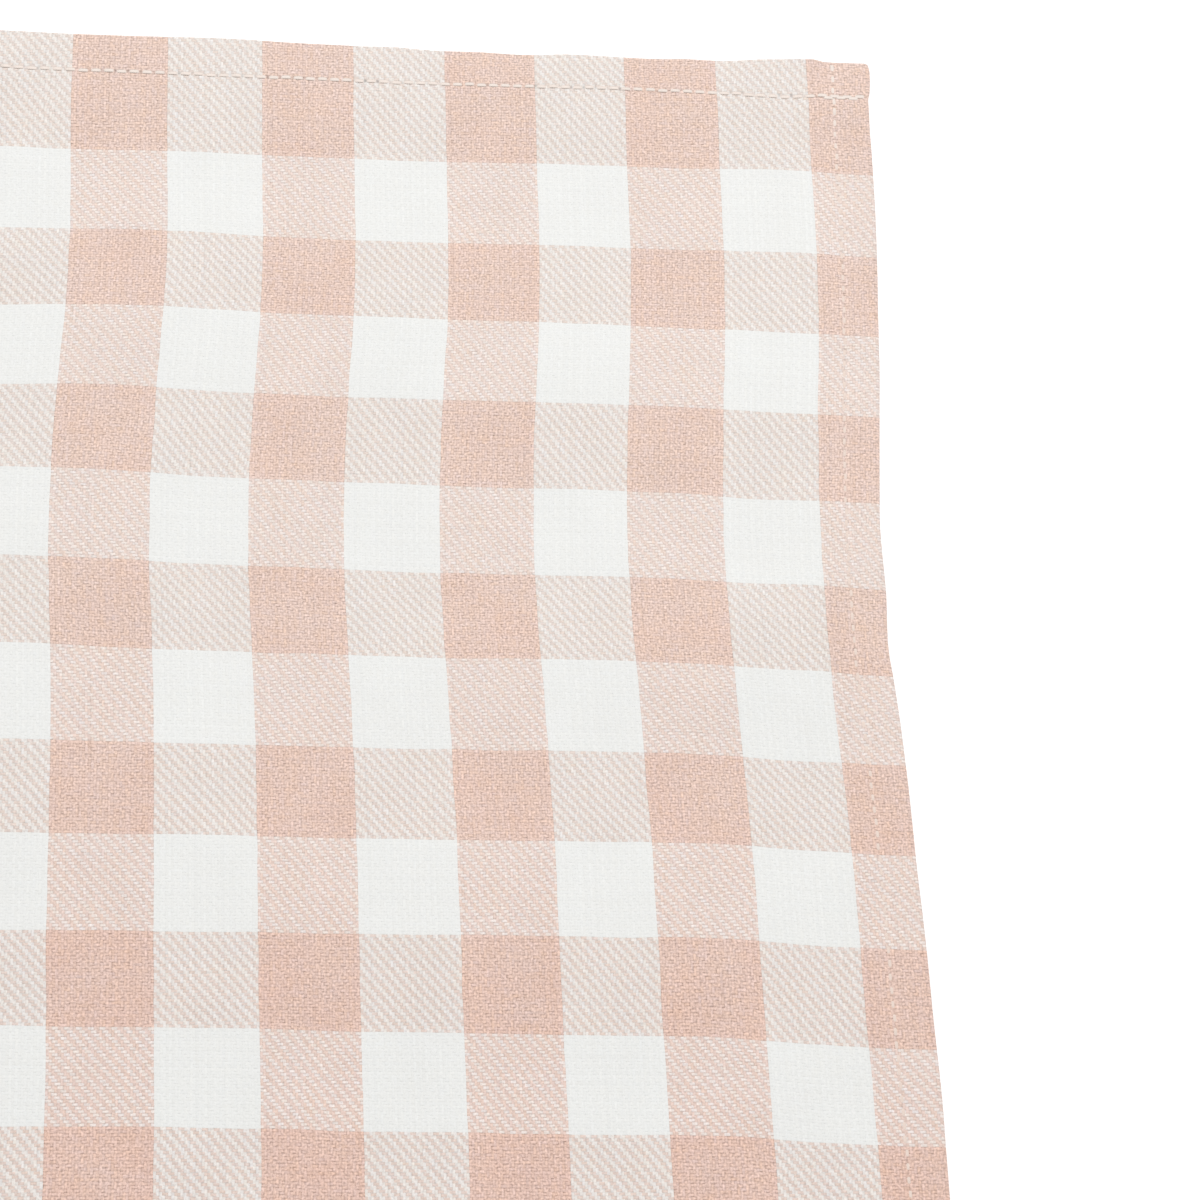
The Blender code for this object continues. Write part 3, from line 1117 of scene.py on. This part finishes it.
def make_lights(studio):
    """Soft light from all round, and one large soft light above the far end."""
    scene = bpy.context.scene
    world = bpy.data.worlds.new("studio_air")
    world.use_nodes = True
    sky = world.node_tree.nodes["Background"]
    sky.inputs["Color"].default_value = WHITE
    sky.inputs["Strength"].default_value = studio.fill_light
    scene.world = world
    lamp = bpy.data.lights.new("top_light", "AREA")
    lamp.shape = "SQUARE"
    lamp.size = TOP_LIGHT_SIZE
    lamp.energy = studio.top_light
    light = bpy.data.objects.new("top_light", lamp)
    towards = (TOP_LIGHT_AIM - TOP_LIGHT_PLACE).to_track_quat("-Z", "Y")
    light.matrix_world = Matrix.Translation(TOP_LIGHT_PLACE) @ towards.to_matrix().to_4x4()
    scene.collection.objects.link(light)


def make_camera(studio):
    """The camera, above the near end and looking down at the shown corner."""
    lens = bpy.data.cameras.new("camera")
    lens.lens = studio.lens
    lens.sensor_width = 36.0
    lens.clip_start = 0.01
    lens.clip_end = 100.0
    camera = bpy.data.objects.new("camera", lens)
    turn = Matrix.Rotation(studio.bearing, 4, "Z")
    turn @= Matrix.Rotation(math.pi / 2 - studio.tilt, 4, "X")
    turn @= Matrix.Rotation(studio.roll, 4, "Z")
    back = Matrix.Translation((0, 0, studio.distance))
    camera.matrix_world = Matrix.Translation(CAMERA_AIM) @ turn @ back
    bpy.context.scene.collection.objects.link(camera)
    bpy.context.scene.camera = camera


# --- Operators, panel and registration ---


class TOWEL_OT_stage(bpy.types.Operator):
    """Set up the floor, the lights and the camera"""

    bl_idname = "tea_towel.set_stage"
    bl_label = "Set Up Studio"

    def execute(self, context):
        studio = context.scene.towel_studio
        make_camera(studio)
        make_floor(studio)
        make_lights(studio)
        context.scene.view_settings.view_transform = "Standard"
        return {"FINISHED"}


class TOWEL_OT_cloth(bpy.types.Operator):
    """Weave, hem and lay down the cloth"""

    bl_idname = "tea_towel.lay_cloth"
    bl_label = "Lay Cloth"

    def execute(self, context):
        towel = LyingTowel(context.scene)
        cloth = make_cloth(towel)
        colours, twill, pucker = context.scene.towel_colours, twill_group(), pucker_group()
        for name, reverse in (("check_twill_face", False), ("check_twill_back", True)):
            paint = cloth_material(name, towel, colours, twill, pucker, reverse)
            cloth.data.materials.append(paint)
        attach(cloth, BODY)
        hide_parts(CLOTH_NODE)
        return {"FINISHED"}


class TOWEL_OT_stitching(bpy.types.Operator):
    """Sew the four hems"""

    bl_idname = "tea_towel.sew_hems"
    bl_label = "Sew Hems"

    def execute(self, context):
        towel = LyingTowel(context.scene)
        thread = thread_material(context.scene.towel_colours)
        pieces = make_stitching(towel)
        for piece in pieces:
            piece.data.materials.append(thread)
            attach(piece, BODY)
        cut_width = towel.width + 2 * towel.beyond(towel.sizes.side_hem)
        cut_length = towel.length + 2 * towel.beyond(towel.sizes.end_hem)
        return {"FINISHED"}


class TOWEL_PT_panel(bpy.types.Panel):
    """Sizes, colours and steps of the tea towel"""

    bl_label = "Tea Towel"
    bl_idname = "TOWEL_PT_panel"
    bl_space_type = "VIEW_3D"
    bl_region_type = "UI"
    bl_category = "Tea Towel"

    def draw(self, context):
        layout = self.layout
        for group in SETTINGS:
            box = layout.box()
            box.label(text=group)
            settings = getattr(context.scene, group)
            for name in type(settings).__annotations__:
                box.prop(settings, name)
        for operator in OPERATORS:
            layout.operator(operator.bl_idname)


SETTINGS = {
    "towel_cloth": ClothSizes,
    "towel_stitching": StitchSizes,
    "towel_colours": TowelColours,
    "towel_studio": StudioLook,
}
OPERATORS = (TOWEL_OT_stage, TOWEL_OT_cloth, TOWEL_OT_stitching)
CLASSES = (*SETTINGS.values(), *OPERATORS, TOWEL_PT_panel)


def register():
    for part in CLASSES:
        bpy.utils.register_class(part)
    for name, settings in SETTINGS.items():
        setattr(bpy.types.Scene, name, bpy.props.PointerProperty(type=settings))


def unregister():
    for name in SETTINGS:
        delattr(bpy.types.Scene, name)
    for part in reversed(CLASSES):
        bpy.utils.unregister_class(part)


def main():
    register()
    bpy.ops.tea_towel.set_stage()
    bpy.ops.tea_towel.lay_cloth()
    bpy.ops.tea_towel.sew_hems()


if __name__ == "__main__":
    main()
